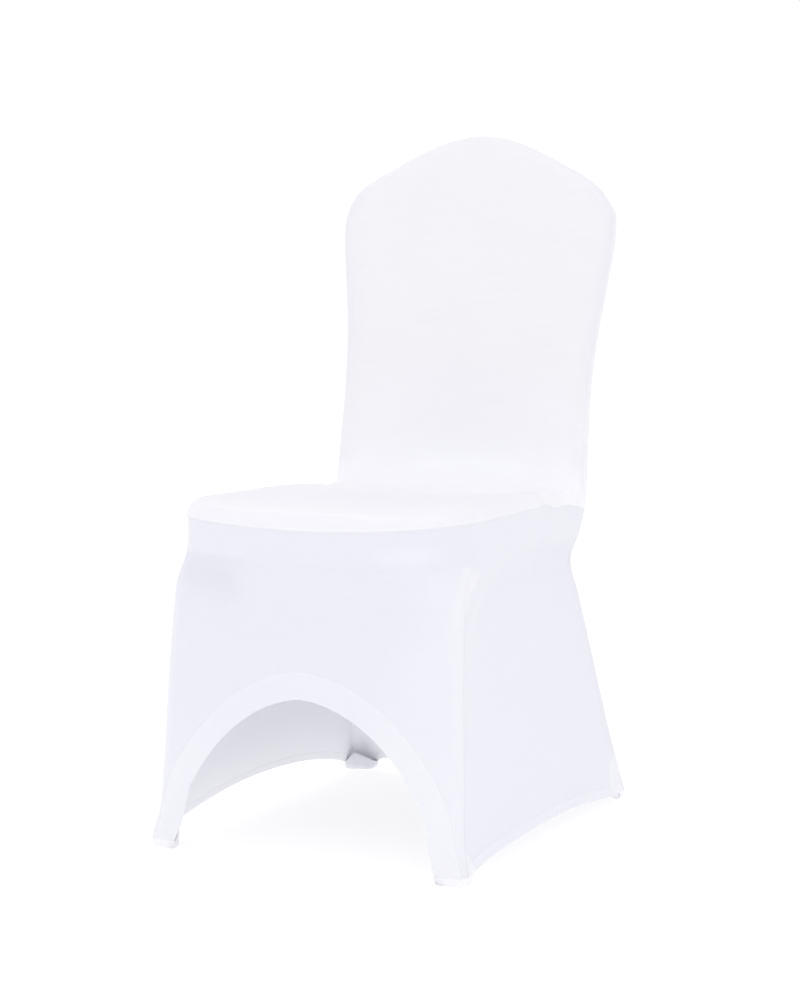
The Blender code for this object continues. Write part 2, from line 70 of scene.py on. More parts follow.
def bulge(share):
    """Share of a panel's bow at a share of its half width: 1 in the middle, 0 at the edge."""
    return (1 - share ** 2) ** 2


def quarter_round(distance, width):
    """Share of a rounded rim's height at a distance in from its edge."""
    t = np.clip(distance / width, 0, 1)
    return np.sqrt(1 - (1 - t) ** 2)


SEAT_HALF_WIDTH = 0.201
SEAT_SIDE_TAPER = 0.004  # how much narrower each side of the seat is at the back
SEAM_HEIGHT = 0.425  # nominal height of the seam round the seat
SEAT_EDGE_HEIGHT = 0.377  # lower edge of the seat, where the skirts turn in
SEAT_RISE_FRONT = 0.023  # of the cloth above its seam
SEAT_RISE_BACK = 0.017
SEAT_DOME = 0.005
SEAT_DOME_REACH = 0.6  # half waves of the dome from the front to the back of the seat
SEAT_ROUND = 0.026
BACK_ROUND = 0.018
BACK_DOME = 0.004
CORNER_PULL = 0.12  # how far the hollow's corner is drawn forward, for each metre that it rises
CORNER_Y = 0.168  # where the lines of the seat and of the back would cross
HOLLOW_SIDE = 0.009  # reach of the hollow between seat and back, at the side seams
HOLLOW_MIDDLE = 0.080
HOLLOW_SPREAD = 0.070  # distance from the side seam at which it is fully as wide

# The outer corner of each front leg, its radius, and how far the cloth between the legs hangs back
FRONT_LEG = table("height corner_x corner_y radius bow", [
    (0.012, 0.2260, -0.2830, 0.0140, 0.000), (0.050, 0.2180, -0.2765, 0.0140, 0.003),
    (0.100, 0.2155, -0.2720, 0.0140, 0.005), (0.240, 0.2100, -0.2650, 0.0160, 0.001),
    (0.300, 0.2075, -0.2635, 0.0220, -0.004), (0.340, 0.2050, -0.2690, 0.0370, -0.004),
    (0.377, 0.2010, -0.2730, 0.0660, -0.005), (0.425, 0.2010, -0.2710, 0.0680, -0.006)])
# Outline of the back from the seat seam to the shoulder, and the crown over it
BACK_SIDE = table("height left right", [
    (0.425, 0.1970, 0.1970), (0.500, 0.1955, 0.1955), (0.580, 0.1940, 0.1940), (0.660, 0.1975, 0.1970),
    (0.740, 0.2070, 0.2060), (0.800, 0.2150, 0.2125), (0.835, 0.2155, 0.2095), (0.868, 0.2030, 0.1850)])
CROWN = table("share left right", [
    (0.00, 0.9500, 0.9500), (0.25, 0.9440, 0.9410), (0.50, 0.9260, 0.9220), (0.75, 0.9010, 0.8980),
    (0.90, 0.8855, 0.8820), (1.00, 0.8680, 0.8680)])
# Lean of the back: the seam's place, and how far the inside and the outside stand off it
BACK_LEAN = table("height seam inside outside", [
    (0.425, 0.169, 0.006, 0.013), (0.500, 0.180, 0.006, 0.013), (0.580, 0.193, 0.007, 0.014),
    (0.660, 0.209, 0.010, 0.023), (0.750, 0.2245, 0.012, 0.028), (0.810, 0.2345, 0.013, 0.026),
    (0.868, 0.2450, 0.013, 0.014), (0.950, 0.2600, 0.012, 0.009)])
# Height of the seat seam over its nominal height from front to back, its rise to the sides, and the small
# tucks of the right-hand seam, where the stretched cloth puckers
SEAM_SWAY = table("y height", [
    (-0.280, -0.005), (-0.200, -0.005), (-0.120, -0.003), (0.000, -0.001), (0.100, -0.005), (0.175, -0.016)])
SEAM_SIDE_RISE = 0.013
TUCKS = table("y height width", [(0.020, 0.003, 0.018), (0.062, -0.004, 0.022)])

FOOT_SEAM = 0.012  # height of the seam between skirts and foot pockets
FRONT_ARCH = {"left": 0.186, "right": 0.187, "top": 0.208, "top_x": -0.008,
              "power_left": 1.74, "power_right": 1.69}
CORNER_STEPS = 12
ARCH_STEPS = 26
EDGE_DENSITY = 1.6  # how much closer the points lie towards a seam
LEAST_STEP = 0.15  # least distance between two columns, as a share of an even one


def side_name(side):
    return "left" if side < 0 else "right"


def cut_columns(arch, flat_half_width):
    """Columns across a panel, from its left seam to its right one: side, angle round the corner, share of
    the flat between the corners, and the height of the hem."""
    halves = []
    for side in (-1, 1):
        name = side_name(side)
        turn = math.pi / 2 * (np.arange(CORNER_STEPS + 1) / CORNER_STEPS) ** EDGE_DENSITY
        angle = math.pi / 2 * np.arange(ARCH_STEPS + 1) / ARCH_STEPS
        power = 2 / arch["power_" + name]
        middle = side * arch["top_x"]
        across = middle + (arch[name] - middle) * np.maximum(np.cos(angle), 0) ** power
        hem = FOOT_SEAM + (arch["top"] - FOOT_SEAM) * np.sin(angle) ** power
        share = list(across / flat_half_width(side, hem))
        least = LEAST_STEP / ARCH_STEPS
        share[0] = min(share[0], 1 - least)
        for k in range(1, len(share)):
            share[k] = min(share[k], share[k - 1] - least)
        halves.append(np.array([[side] * (len(turn) + len(share)), [*turn] + [math.pi / 2] * len(share),
                                [1.0] * len(turn) + share, [FOOT_SEAM] * len(turn) + [*hem]]))
    both = np.hstack([halves[0], halves[1][:, -2::-1]])
    return dict(zip(("side", "turn", "share", "hem"), both))


def by_side(rows, cut, at, key="height"):
    """Reads the left column of a table for the left columns of the cut, and the right one for the right."""
    return np.where(cut["side"] < 0, smooth(rows, "left", at, key), smooth(rows, "right", at, key))


def seam_height(x, y):
    """Height of the seat seam, with its sway and the tucks on the right."""
    height = SEAM_HEIGHT + smooth(SEAM_SWAY, "height", y, "y") + SEAM_SIDE_RISE * (x / SEAT_HALF_WIDTH) ** 2
    for at, rise, width in zip(*TUCKS.values()):
        height = height + rise * np.exp(-((y - at) / width) ** 2) * np.maximum(x / SEAT_HALF_WIDTH, 0) ** 6
    return height


SWAY_END = 0.12  # height down to which the waves of the seat seam reach


def skirt_front(cut, level):
    """Points of the front of the form at nominal heights."""
    level = level + 0 * cut["share"]
    radius = smooth(FRONT_LEG, "radius", level)
    half_width = smooth(FRONT_LEG, "corner_x", level) - radius * (1 - np.cos(cut["turn"]))
    x = cut["side"] * cut["share"] * half_width
    y = (smooth(FRONT_LEG, "corner_y", level) + radius * (1 - np.sin(cut["turn"]))
         + smooth(FRONT_LEG, "bow", level) * bulge(cut["share"]))
    sway = (seam_height(x, y) - SEAM_HEIGHT) * ease((level - SWAY_END) / (SEAT_EDGE_HEIGHT - SWAY_END))
    return np.stack([x, y, level + sway], axis=-1)


def seat_edge_distance(x, y):
    """Distance of a place on the seat from the seam round its front and sides."""
    radius = smooth(FRONT_LEG, "radius", SEAM_HEIGHT)
    share = np.minimum(np.abs(x) / (SEAT_HALF_WIDTH - radius), 1.0)
    bow = smooth(FRONT_LEG, "bow", SEAM_HEIGHT) * bulge(share)
    front_y = smooth(FRONT_LEG, "corner_y", SEAM_HEIGHT) + bow
    behind = np.maximum(y - front_y - radius, 0)
    from_side = SEAT_HALF_WIDTH - SEAT_SIDE_TAPER * behind / (CORNER_Y - front_y - radius) - np.abs(x)
    from_front = y - front_y
    in_corner = (from_side < radius) & (from_front < radius)
    return np.where(in_corner, radius - np.hypot(radius - from_side, radius - from_front),
                    np.minimum(from_side, from_front))


def hollow_reach(across):
    """Reach of the hollow between seat and back, at a distance from the middle."""
    inward = SEAT_HALF_WIDTH - SEAT_SIDE_TAPER - across
    return HOLLOW_SIDE + (HOLLOW_MIDDLE - HOLLOW_SIDE) * quarter_round(inward, HOLLOW_SPREAD)


def across_back(cut, half_width):
    return cut["side"] * cut["share"] * (half_width - BACK_ROUND * (1 - np.cos(cut["turn"])))


def seat_top(cut, back):
    """Points of the seat, from its front seam (back 0) to the start of the hollow (back 1)."""
    front = skirt_front(cut, SEAM_HEIGHT)
    radius = smooth(FRONT_LEG, "radius", SEAM_HEIGHT)
    reach = hollow_reach(np.abs(across_back(cut, SEAT_HALF_WIDTH - SEAT_SIDE_TAPER)))
    y = front[:, 1] + (CORNER_Y - reach - front[:, 1]) * back
    first = front[0, 1]
    line = SEAT_HALF_WIDTH - SEAT_SIDE_TAPER * np.clip((y - first) / (CORNER_Y - first), 0, 1)
    turn_radius = BACK_ROUND + (radius - BACK_ROUND) * (1 - back) ** 2
    x = cut["side"] * cut["share"] * (line - turn_radius * (1 - np.cos(cut["turn"])))
    rise = SEAT_RISE_FRONT + (SEAT_RISE_BACK - SEAT_RISE_FRONT) * back
    rise = rise + (SEAT_DOME * np.cos(x / SEAT_HALF_WIDTH * math.pi / 2)
                   * np.sin(math.pi * back * SEAT_DOME_REACH))
    rim = quarter_round(seat_edge_distance(x, y), SEAT_ROUND)
    return np.stack([x, y, seam_height(x, y) + rim * rise], axis=-1)


def back_place(cut, base, up):
    """Place across, height and rim share of the back, from a base height (up 0) to the crown (up 1)."""
    shoulder = BACK_SIDE["height"][-1]
    shoulder_half = by_side(BACK_SIDE, cut, shoulder)
    top = by_side(CROWN, cut, np.abs(across_back(cut, shoulder_half)) / shoulder_half, "share")
    half_width = by_side(BACK_SIDE, cut, base + (shoulder - base) * up)
    x = across_back(cut, half_width)
    top_rim = quarter_round((1 - up) * (top - base), BACK_ROUND)
    rim = quarter_round(half_width - np.abs(x), BACK_ROUND) * top_rim
    return x, base + (top - base) * up, rim


def inside_back(cut, base, up):
    """Points of the inside of the back."""
    x, z, rim = back_place(cut, base, up)
    dome = BACK_DOME * np.cos(x / SEAT_HALF_WIDTH * math.pi / 2) * np.sin(math.pi * up)
    y = smooth(BACK_LEAN, "seam", z) - rim * (smooth(BACK_LEAN, "inside", z) + dome)
    return np.stack([x, y, z], axis=-1)


def rim_rows(length, rows, width):
    """Shares of a stretch, dense over the rounded rim at its start and even after it."""
    turn = math.pi / 2 * (np.arange(CORNER_STEPS) / CORNER_STEPS) ** EDGE_DENSITY
    return np.append(width * (1 - np.cos(turn)) / length, np.linspace(width / length, 1, rows + 1))


def distance_to(places, line):
    """Distance of each place from a line through points."""
    places, line = np.asarray(places, dtype=float), np.asarray(line, dtype=float)
    start, step = line[:-1], np.diff(line, axis=0)
    length = np.maximum((step ** 2).sum(axis=1), 1e-12)
    away = places.reshape(-1, 1, 3) - start
    along = np.clip((away * step).sum(axis=2) / length, 0, 1)
    nearest = np.linalg.norm(away - along[..., None] * step, axis=2).min(axis=1)
    return nearest.reshape(places.shape[:-1])


def near(places, line, width):
    """1 on a line through points, fading softly to 0 over a width."""
    return np.exp(-(distance_to(places, line) / width) ** 2)


def outward(places, faces):
    """Outward direction of the cloth at each of its points."""
    total = np.zeros_like(places)
    corners = places[faces]
    for k in range(faces.shape[1]):
        one = corners[:, (k + 1) % faces.shape[1]] - corners[:, k]
        two = corners[:, k - 1] - corners[:, k]
        np.add.at(total, faces[:, k], np.cross(one, two))
    return total / np.maximum(np.linalg.norm(total, axis=1, keepdims=True), 1e-12)


CLOTH = 0.0009  # thickness of the knit, 0.9 mm
SEAM_RIDGE = 0.0006  # height of the seam allowance that shows through the cloth
SEAM_RIDGE_WIDTH = 0.0050
HEM_FOLD = 0.0006  # thickness that a turned hem adds
HEM_EDGE = 0.003  # width over which that thickness runs out
HEM_ROLL = 0.45  # how round a free edge is, as a share of its thickness
FOLD_STOP = 0.004  # distance from a seam within which folds run out
ON_LINE = 1e-6  # points closer than this are the same
WELT_WIDTH = 0.0016
INNER_FACE = -1.0  # marks the inner face of the cloth, which is painted paler: a painted glow for the light that comes through


def raised_seam(places, line, reference, height):
    """Moves places near a seam outwards, so that the seam stands up as a small rounded welt."""
    line = np.asarray(line, dtype=float)
    out = np.cross(np.gradient(line, axis=0), reference)
    out /= np.maximum(np.linalg.norm(out, axis=1, keepdims=True), 1e-12)
    away = np.linalg.norm(places[..., None, :] - line, axis=-1)
    nearest = away.argmin(axis=-1)
    lift = height * near(places, line, WELT_WIDTH)
    return places + out[nearest] * lift[..., None]


def sew_panel(name, grid, flip, seams, hem=None, hem_width=0.0, folds=(), ridge=1.0, ring=False, painted_light_and_shade=0.0,
              seam_tone=1.0, stitch_tone=0.4, patch=1.0, welts=(), level=None):
    """Makes a panel of cloth as a thin closed sheet on its form.

    grid holds the points of its outer side, seams are the lines where it is sewn to its neighbours, hem is
    the line of its free edge. folds is a table of soft troughs and ridges: (line, width, height). A ring
    closes on itself across its columns, and its last row is gathered in one point. The painted light and
    shade of the cloth is given at each point: painted shade above 0 and painted light below it; the inner
    face always gets painted light. seam_tone says how its seams look: 1 for a raised edge painted pale, for
    its white thread and in part as a painted highlight, -1 for a fine line of painted shade. stitch_tone
    says how clearly the stitches of the hem show, and patch is the distance outwards from the edge of a
    patch sewn on. welts are the seams that stand up: (line, reference direction, height). level gives the
    height in the flat cloth, which is the real height unless it is stated.
    """
    rows, across = grid.shape[:2]
    places = grid.reshape(-1, 3).copy()
    index = np.arange(rows * across).reshape(rows, across)
    if ring:
        index = np.hstack([index, index[:, :1]])
    quads = np.stack([index[:-1, :-1], index[1:, :-1], index[1:, 1:], index[:-1, 1:]], axis=-1)
    quads = quads.reshape(-1, 4)
    if flip:
        quads = quads[:, ::-1]
    for line, reference, height in welts:
        places = raised_seam(places, line, reference, height)
    normal = outward(places, quads)
    from_seam = np.min([distance_to(places, line) for line in seams], axis=0)
    from_hem = distance_to(places, hem) if hem is not None else np.ones(len(places))
    lift = np.zeros(len(places))
    for line, width, height in folds:
        lift += height * near(places, line, width)
    lift *= ease(from_seam / FOLD_STOP)
    ridge_shape = np.sin(math.pi * np.clip(from_seam / SEAM_RIDGE_WIDTH, 0, 1)) ** 2
    ridged = np.ravel(ridge + 0 * grid[..., 0]) * SEAM_RIDGE * ridge_shape
    doubled = 0 * lift
    if hem is not None:
        doubled = HEM_FOLD * (1 - ease((from_hem - hem_width) / HEM_EDGE + 0.5))
    outer = places + normal * (lift + ridged + doubled / 2)[:, None]
    inner = places + normal * (lift - CLOTH - doubled / 2)[:, None]

    count = len(places)
    edges = {}
    for quad in quads.tolist():
        for a, b in zip(quad, quad[1:] + quad[:1]):
            if (b, a) in edges:
                del edges[(b, a)]
            else:
                edges[(a, b)] = True
    if ring:
        last = set(index[-1].tolist())
        edges = {edge: True for edge in edges if not (edge[0] in last and edge[1] in last)}
    faces = quads.tolist() + (quads[:, ::-1] + count).tolist()
    border = sorted({point for edge in edges for point in edge})
    middle = {point: 2 * count + k for k, point in enumerate(border)}
    push = {point: np.zeros(3) for point in border}
    for a, b in edges:
        out = np.cross(places[b] - places[a], normal[a])
        out /= max(np.linalg.norm(out), 1e-12)
        push[a] += out
        push[b] += out
    rounded = []
    for point in border:
        out = push[point] / max(np.linalg.norm(push[point]), 1e-12)
        thick = np.linalg.norm(outer[point] - inner[point])
        free = HEM_ROLL if from_hem[point] < ON_LINE else 0.0
        rounded.append((outer[point] + inner[point]) / 2 + out * thick * free)
    for a, b in edges:
        faces += [(b, a, middle[a], middle[b]), (middle[b], middle[a], a + count, b + count)]
    everything = np.vstack([outer, inner, np.array(rounded).reshape(-1, 3)])
    if ring:
        centre = len(everything)
        tips = [layer[index[-1, :-1]].mean(axis=0) for layer in (outer, inner)]
        everything = np.vstack([everything, *tips])
        for a, b in zip(index[-1], index[-1][1:]):
            tip = [(a, centre, b), (a + count, b + count, centre + 1)]
            faces += [face[::-1] if flip else face for face in tip]

    mesh = bpy.data.meshes.new(name)
    mesh.from_pydata(everything.tolist(), [], faces)
    mesh.validate()
    mesh.shade_smooth()
    # Flat lengths of the cloth, in metres, for its knit, and the distances from its seams and hem
    wide = np.hstack([np.zeros((rows, 1)), np.cumsum(np.linalg.norm(np.diff(grid, axis=1), axis=2), axis=1)])
    wide = wide - wide[:, across // 2:across // 2 + 1]
    flat = np.stack([wide.ravel(), (grid[..., 2] if level is None else level).ravel()], axis=1)
    tail = border + ([index[-1, 0]] * 2 if ring else [])
    flat = np.vstack([flat, flat, flat[tail]])
    corner = np.empty(len(mesh.loops), dtype=int)
    mesh.loops.foreach_get("vertex_index", corner)
    mesh.uv_layers.new(name="flat_cloth").data.foreach_set("uv", flat[corner].ravel())
    for label, values in (("from_seam", from_seam), ("from_stitches", from_hem - hem_width), ("painted_light_and_shade", painted_light_and_shade),
                          ("seam_tone", seam_tone), ("stitch_tone", stitch_tone), ("from_patch", patch)):
        values = np.ravel(values + 0 * (grid[..., 0] if np.size(values) != count else values))
        inside = values * 0 + INNER_FACE if label == "painted_light_and_shade" else values
        whole = np.concatenate([values, inside, values[tail]])
        mesh.attributes.new(label, "FLOAT", "POINT").data.foreach_set("value", whole)
    # A sewn edge keeps the shading of the cloth beside it, so that two panels run on smoothly across a seam
    sewn = {frozenset(edge) for edge in edges if from_hem[edge[0]] > ON_LINE or from_hem[edge[1]] > ON_LINE}
    for edge in mesh.edges:
        edge.use_edge_sharp = frozenset(edge.vertices) in sewn
    panel = bpy.data.objects.new(name, mesh)
    bpy.context.scene.collection.objects.link(panel)
    return panel


def linear(code):
    """Linear colour of an sRGB hex code."""
    parts = [int(code[k:k + 2], 16) / 255 for k in (1, 3, 5)]
    return [c / 12.92 if c <= 0.04045 else ((c + 0.055) / 1.055) ** 2.4 for c in parts] + [1.0]


def add_node(material, kind, inputs, output=0, **settings):
    """Adds a node with its settings and its inputs: values, sRGB codes or outputs of other nodes."""
    node = material.node_tree.nodes.new("ShaderNode" + kind)
    for key, value in settings.items():
        setattr(node, key, value)
    for key, value in inputs.items():
        if isinstance(value, bpy.types.NodeSocket):
            material.node_tree.links.new(value, node.inputs[key])
        else:
            node.inputs[key].default_value = linear(value) if isinstance(value, str) else value
    return node.outputs[output]


# White polyester and elastane knit, optic white, calendered: a smooth matt face with a faint silky sheen,
# fine level rows of loops and slight streaks along them. The real rows and wales are about 0.4 mm apart; they
# are drawn 1.8 and 1.5 mm apart so that they show. Light passes through one layer, so it glows a little.
# Where the cloth spans free below the seat, painted shade makes it a shade darker and cooler; the hollow of
# the seat, the inner face and the pockets are painted lighter, and a few spots carry painted highlights.
# Where a hem doubles the cloth it is whiter. Seams are overlocked in white, and their raised edges are
# painted pale, in part as a painted highlight.
ROW_SPACING = 0.0018
WALE_SPACING = 0.0015
STREAK_LENGTH = 0.11
STREAK_HEIGHT = 0.0042
STREAK_SHARE = 0.22
THREAD = 0.0011  # half width of a line of stitches
HEM_TONE = 0.13  # how much paler the doubled cloth of a hem is
WAVE_UNIT = math.pi / 10  # of the wave pattern: its waves are this long at a scale of 1
knit = bpy.data.materials.new("white_stretch_knit")
knit.use_nodes = True
cloth_shader = knit.node_tree.nodes["Principled BSDF"]
flat_map = add_node(knit, "UVMap", {}, uv_map="flat_cloth")
here = add_node(knit, "TexCoord", {}, "Object")
from_seam = add_node(knit, "Attribute", {}, "Fac", attribute_name="from_seam")
from_stitches = add_node(knit, "Attribute", {}, "Fac", attribute_name="from_stitches")
from_patch = add_node(knit, "Attribute", {}, "Fac", attribute_name="from_patch")
painted_shading_share = add_node(knit, "Attribute", {}, "Fac", attribute_name="painted_light_and_shade")
seam_look = add_node(knit, "Attribute", {}, "Fac", attribute_name="seam_tone")
stitch_look = add_node(knit, "Attribute", {}, "Fac", attribute_name="stitch_tone")
streak_size = (1 / STREAK_LENGTH, 1 / STREAK_HEIGHT, 1.0)
streak_place = add_node(knit, "Mapping", {"Vector": flat_map, "Scale": streak_size})
streaks = add_node(knit, "TexNoise", {"Vector": streak_place, "Scale": 1.0, "Detail": 2.0})
unevenness = add_node(knit, "TexNoise", {"Vector": here, "Scale": 7.0, "Detail": 3.0})
fibres = add_node(knit, "TexNoise", {"Vector": here, "Scale": 1500.0, "Detail": 2.0})
knit_rows = add_node(knit, "TexWave", {"Vector": flat_map, "Scale": WAVE_UNIT / ROW_SPACING}, "Fac",
                     bands_direction="Y")
knit_wales = add_node(knit, "TexWave", {"Vector": flat_map, "Scale": WAVE_UNIT / WALE_SPACING}, "Fac",
                      bands_direction="X")
soft = {"interpolation_type": "SMOOTHSTEP"}
in_hem = add_node(knit, "MapRange", {0: from_stitches, 1: -0.0005, 2: 0.0005, 3: 1.0, 4: 0.0}, **soft)
in_patch = add_node(knit, "MapRange", {0: from_patch, 1: -0.0010, 2: 0.0010, 3: 1.0, 4: 0.0}, **soft)
off_stitches = add_node(knit, "Math", {0: from_stitches}, operation="ABSOLUTE")
off_patch = add_node(knit, "Math", {0: from_patch}, operation="ABSOLUTE")
stitches = add_node(knit, "MapRange", {0: off_stitches, 1: 0.0, 2: THREAD, 3: 1.0, 4: 0.0}, **soft)
patch_line = add_node(knit, "MapRange", {0: off_patch, 1: 0.0, 2: THREAD, 3: 1.0, 4: 0.0}, **soft)
# Seam lines are painted pale for their white thread and, in part, as a painted highlight on their raised edge
seam_band = add_node(knit, "MapRange", {0: from_seam, 1: 0.0, 2: 2 * THREAD, 3: 1.0, 4: 0.0}, **soft)
pale = 0.0
for shape, strength in ((stitches, stitch_look), (seam_band, seam_look), (in_hem, HEM_TONE),
                        (patch_line, 0.30), (in_patch, 0.16)):
    pale = add_node(knit, "Math", {0: shape, 1: strength, 2: pale}, operation="MULTIPLY_ADD")
# Below 0, the painted shading stands for painted light, and seam_tone for a fine line of painted shade
painted_light = add_node(knit, "Math", {0: painted_shading_share, 1: -0.8}, operation="MULTIPLY")
seam_shade = add_node(knit, "Math", {0: seam_band, 1: seam_look}, operation="MULTIPLY")
seam_shade = add_node(knit, "Math", {0: seam_shade, 1: -0.8}, operation="MULTIPLY")
streak_tint = add_node(knit, "Mix", {"Factor": streaks, 6: "#dfdfe4", 7: "#f1f1f4"}, 2, data_type="RGBA")
# The knit's white, with its random unevenness and its streaks; then painted shade towards #d9d9e2, painted
# light towards #f3f3f9, the pale marks, and fine seam lines of painted shade
colour = "#e5e5e9"
for share, tint in ((unevenness, "#e9e9ed"), (STREAK_SHARE, streak_tint), (painted_shading_share, "#d9d9e2"),
                    (painted_light, "#f3f3f9"), (pale, "#f9f9fa"), (seam_shade, "#c3c3cf")):
    colour = add_node(knit, "Mix", {"Factor": share, 6: colour, 7: tint}, 2, data_type="RGBA")
relief = 0.0
for shape, height in ((knit_rows, 0.020), (knit_wales, 0.010), (fibres, 0.030), (streaks, 0.020),
                      (in_hem, 0.30), (stitches, -0.30), (in_patch, 0.20)):
    relief = add_node(knit, "Math", {0: shape, 1: height, 2: relief}, operation="MULTIPLY_ADD")
rough = add_node(knit, "MapRange", {0: fibres, 1: 0.2, 2: 0.8, 3: 0.50, 4: 0.66})
raised = add_node(knit, "Bump", {"Height": relief, "Strength": 0.8, "Distance": 0.001})
for socket, source in (("Base Color", colour), ("Roughness", rough), ("Normal", raised)):
    knit.node_tree.links.new(source, cloth_shader.inputs[socket])
cloth_shader.inputs["Subsurface Weight"].default_value = 0.6
cloth_shader.inputs["Subsurface Radius"].default_value = (1.0, 1.0, 1.0)
cloth_shader.inputs["Subsurface Scale"].default_value = 0.0012
cloth_shader.inputs["Sheen Weight"].default_value = 0.10
cloth_shader.inputs["Sheen Roughness"].default_value = 0.45
cloth_shader.inputs["Specular IOR Level"].default_value = 0.30


def front_flat(side, height):
    """Half width of the flat between the rounded front corners."""
    return smooth(FRONT_LEG, "corner_x", height) - smooth(FRONT_LEG, "radius", height)


SEAT_STEPS, HOLLOW_STEPS, BACK_STEPS = 40, 16, 34
front_cut = cut_columns(FRONT_ARCH, front_flat)
seat_rows = rim_rows(CORNER_Y - smooth(FRONT_LEG, "corner_y", SEAM_HEIGHT), SEAT_STEPS, SEAT_ROUND)
back_rows = 1 - rim_rows(BACK_SIDE["height"][-1] - SEAM_HEIGHT, BACK_STEPS, BACK_ROUND)[::-1]
seat_end = seat_top(front_cut, 1.0)
back_base = seat_end[:, 2] + hollow_reach(np.abs(seat_end[:, 0]))
back_start = inside_back(front_cut, back_base, 0.0)
corner_y = back_start[:, 1] - CORNER_PULL * (back_start[:, 2] - seat_end[:, 2])
hollow_corner = np.stack([(seat_end[:, 0] + back_start[:, 0]) / 2, corner_y, seat_end[:, 2]], axis=-1)
hollow = [(1 - t) ** 2 * seat_end + 2 * t * (1 - t) * hollow_corner + t * t * back_start
          for t in np.arange(1, HOLLOW_STEPS) / HOLLOW_STEPS]
seat_back = np.stack([seat_top(front_cut, share) for share in seat_rows] + hollow
                     + [inside_back(front_cut, back_base, share) for share in back_rows])
joint_row = len(seat_rows) - 1 + HOLLOW_STEPS // 2
seat_seam = seat_back[0]
# Soft ridges along the front edge of the seat and in the hollow, and the small tucks at its corners
SEAT_FOLDS = [
    ([(-0.158, -0.258, 0.443), (-0.079, -0.261, 0.4415), (0.012, -0.263, 0.440), (0.100, -0.266, 0.438),
      (0.168, -0.257, 0.439)], 0.0055, 0.0010),
    ([(-0.050, 0.157, 0.471), (0.017, 0.161, 0.476), (0.080, 0.159, 0.474)], 0.0120, 0.0014),
    ([(0.050, 0.115, 0.450), (0.115, 0.088, 0.449), (0.170, 0.050, 0.4485)], 0.0090, 0.0005),
    ([(0.1985, 0.018, 0.4345), (0.1955, 0.012, 0.4445), (0.188, 0.004, 0.449)], 0.0035, -0.0024),
    ([(0.198, 0.030, 0.433), (0.193, 0.030, 0.445)], 0.0050, 0.0014),
    ([(0.194, 0.166, 0.455), (0.1948, 0.150, 0.440), (0.196, 0.145, 0.425)], 0.0040, -0.0020),
    ([(-0.190, 0.150, 0.440), (-0.180, 0.148, 0.446), (-0.165, 0.140, 0.449)], 0.0040, -0.0018),
]
UP, BACKWARD = (0.0, 0.0, 1.0), (0.0, 1.0, 0.0)
SEAT_WELT, BACK_WELT = 0.0011, 0.0006  # how far the seams stand up
seat_ring = np.vstack([seat_back[joint_row:0:-1, 0], seat_back[0], seat_back[1:joint_row + 1, -1]])
back_ring = np.vstack([seat_back[joint_row:, 0], seat_back[-1, 1:-1], seat_back[:joint_row - 1:-1, -1]])
back_ring = back_ring[np.append(True, np.linalg.norm(np.diff(back_ring, axis=0), axis=1) > ON_LINE)]
seat_ring = seat_ring[np.append(True, np.linalg.norm(np.diff(seat_ring, axis=0), axis=1) > ON_LINE)]
WELTS = [(seat_ring, UP, SEAT_WELT), (back_ring, BACKWARD, -BACK_WELT)]
# Painted light and shade on the seat and the back. The hollow between them, where shade would gather, is
# painted lighter, most of all along two soft ridges that carry painted highlights, and a painted highlight
# runs along the front edge of the seat. The top of the seat, lit from above, and the rounded edges of the
# back, which turn from the light, get a little painted shade. Each row is a line, how far from it the
# paint reaches, and how much painted shade it adds; below 0 it adds painted light.
edge_start = joint_row + 12
SEAT_PAINTED_SHADING = [([(-0.190, 0.170, 0.500), (0.190, 0.170, 0.500)], 0.100, -0.48),
         ([(-0.050, 0.160, 0.474), (0.030, 0.163, 0.478), (0.100, 0.160, 0.474)], 0.014, -0.20),
         ([(0.050, 0.115, 0.450), (0.115, 0.088, 0.449), (0.170, 0.050, 0.4485)], 0.011, -0.42),
         (SEAT_FOLDS[0][0], 0.0035, -0.35), ([(-0.120, -0.100, 0.450), (0.120, -0.100, 0.450)], 0.150, 0.30),
         (seat_back[edge_start:, 0], 0.022, 0.38), (seat_back[edge_start:, -1], 0.016, 0.38)]
LEVEL_DEPTH = 0.12  # how far back the rows of the knit follow the seat's depth as well as the height
seat_painted_shading = sum(share * near(seat_back, line, width) for line, width, share in SEAT_PAINTED_SHADING)
seat_cloth = sew_panel("seat_and_back_cloth", seat_back, True,
                       [seat_seam, seat_back[:, 0], seat_back[:, -1], seat_back[-1]], folds=SEAT_FOLDS,
                       painted_light_and_shade=seat_painted_shading, seam_tone=0.6, welts=WELTS,
                       level=seat_back[..., 2] + np.minimum(seat_back[..., 1], LEVEL_DEPTH))


def finish_panel(panel, node):
    """Gives a panel its cloth and its place in the model."""
    panel.data.materials.append(knit)
    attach(panel, "root")
    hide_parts(node)


finish_panel(seat_cloth, "seat_and_inside_back")

# Outside back
# One length of the same knit from the crown down the outside of the back and on to the rear feet, where it
# flares between the rear legs. A turned hem closes its low arch.
REAR_LEG = table("height left right seam outside bow", [
    (0.012, 0.2260, 0.2200, 0.2630, 0.0180, 0.000), (0.040, 0.2210, 0.2150, 0.2570, 0.0170, -0.002),
    (0.100, 0.2130, 0.2080, 0.2350, 0.0160, -0.002), (0.200, 0.2010, 0.1980, 0.2010, 0.0150, 0.006),
    (0.300, 0.1890, 0.1880, 0.1680, 0.0140, 0.018), (0.356, 0.1820, 0.1820, 0.1530, 0.0130, 0.022),
    (0.390, 0.1900, 0.1900, 0.1640, 0.0130, 0.016), (0.425, 0.1960, 0.1960, 0.1690, 0.0130, 0.010),
    (0.520, 0.1930, 0.1930, 0.1830, 0.0130, 0.002)])
REAR_ARCH = {"left": 0.186, "right": 0.186, "top": 0.036, "top_x": 0.0,
             "power_left": 1.5, "power_right": 1.5}
